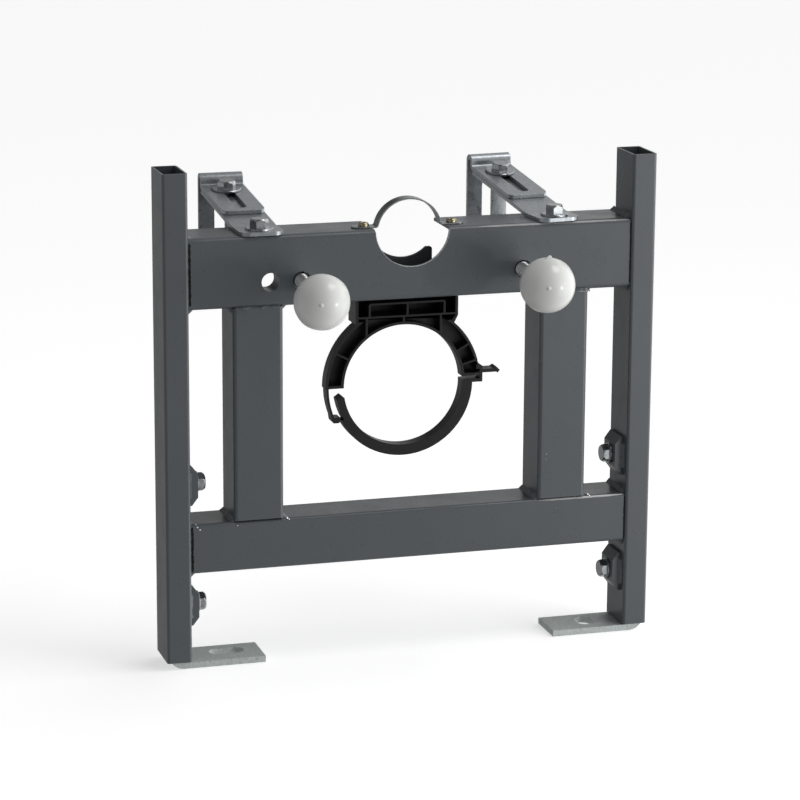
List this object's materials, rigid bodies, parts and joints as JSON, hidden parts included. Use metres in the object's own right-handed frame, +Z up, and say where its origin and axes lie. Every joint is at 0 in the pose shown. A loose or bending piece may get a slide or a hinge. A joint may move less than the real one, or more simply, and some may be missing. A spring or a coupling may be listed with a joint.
{
  "type": "wall hung toilet frame",
  "caption": "Low steel frame that carries a hung toilet pan: two posts with sliding feet, crossbars, pan studs, soil pipe clip, flush pipe strap and slotted wall brackets.",
  "frame": {"origin": "on the floor, in the middle of the frame's width, in the plane of the posts' front faces", "axes": "+X to the right seen from the front, +Y back towards the wall, +Z up"},
  "size_m": [0.4, 0.2286, 0.3936],
  "materials": {
    "frame_paint": "grey powder coat, satin",
    "galvanised_steel": "hot-dip galvanised, matt",
    "zinc_plate": "bright zinc plate",
    "yellow_zinc": "yellow zinc plate",
    "bright_steel": "bright steel",
    "white_cap": "smooth white",
    "black_plastic": "matt black"
  },
  "bodies": {
    "frame": {"flush_strap": "bright_steel", "left_arm_bolt": "zinc_plate", "left_ball_cap": "white_cap", "left_lower_clamp_bolt": "zinc_plate", "left_lower_clamp_lug": "frame_paint", "left_outer_sleeve": "frame_paint", "left_post": "frame_paint", "left_strap_screw": "yellow_zinc", "left_stud": "bright_steel", "left_stud_sleeve": "frame_paint", "left_upper_clamp_bolt": "zinc_plate", "left_upper_clamp_lug": "frame_paint", "left_upright": "frame_paint", "lower_crossbar": "frame_paint", "right_arm_bolt": "zinc_plate", "right_ball_cap": "white_cap", "right_lower_clamp_bolt": "zinc_plate", "right_lower_clamp_lug": "frame_paint", "right_outer_sleeve": "frame_paint", "right_post": "frame_paint", "right_strap_screw": "yellow_zinc", "right_stud": "bright_steel", "right_stud_sleeve": "frame_paint", "right_upper_clamp_bolt": "zinc_plate", "right_upper_clamp_lug": "frame_paint", "right_upright": "frame_paint", "saddle_plate": "frame_paint", "soil_clip_upper": "black_plastic", "upper_crossbar": "frame_paint"},
    "left_foot": {"left_foot": "galvanised_steel"},
    "right_foot": {"right_foot": "galvanised_steel"},
    "left_bracket": {"left_bracket_arm": "zinc_plate", "left_plate_bolt": "zinc_plate"},
    "right_bracket": {"right_bracket_arm": "zinc_plate", "right_plate_bolt": "zinc_plate"},
    "left_wall_plate": {"left_wall_plate": "zinc_plate"},
    "right_wall_plate": {"right_wall_plate": "zinc_plate"},
    "soil_clip_strap": {"soil_clip_strap": "black_plastic"}
  },
  "joints": [
    {"name": "left_foot_slide", "type": "slide", "parent": "frame", "child": "left_foot", "axis": [0, 0, -1], "range_m": [0, 0.15]},
    {"name": "right_foot_slide", "type": "slide", "parent": "frame", "child": "right_foot", "axis": [0, 0, -1], "range_m": [0, 0.15]},
    {"name": "left_bracket_swivel", "type": "hinge", "parent": "frame", "child": "left_bracket", "pos_m": [-0.121, 0.014, 0.3441], "axis": [0, 0, 1], "range_deg": [-20, 20]},
    {"name": "right_bracket_swivel", "type": "hinge", "parent": "frame", "child": "right_bracket", "pos_m": [0.1195, 0.014, 0.3441], "axis": [0, 0, 1], "range_deg": [-20, 20]},
    {"name": "left_plate_slide", "type": "slide", "parent": "left_bracket", "child": "left_wall_plate", "axis": [0, 0.9945, 0.1045], "range_m": [0, 0.045]},
    {"name": "right_plate_slide", "type": "slide", "parent": "right_bracket", "child": "right_wall_plate", "axis": [-0.0947, 0.9831, 0.1564], "range_m": [0, 0.045]},
    {"name": "clip_strap_hinge", "type": "hinge", "parent": "frame", "child": "soil_clip_strap", "pos_m": [-0.05412, 0.0255, 0.1881], "axis": [0, 1, 0], "range_deg": [0, 35]}
  ]
}
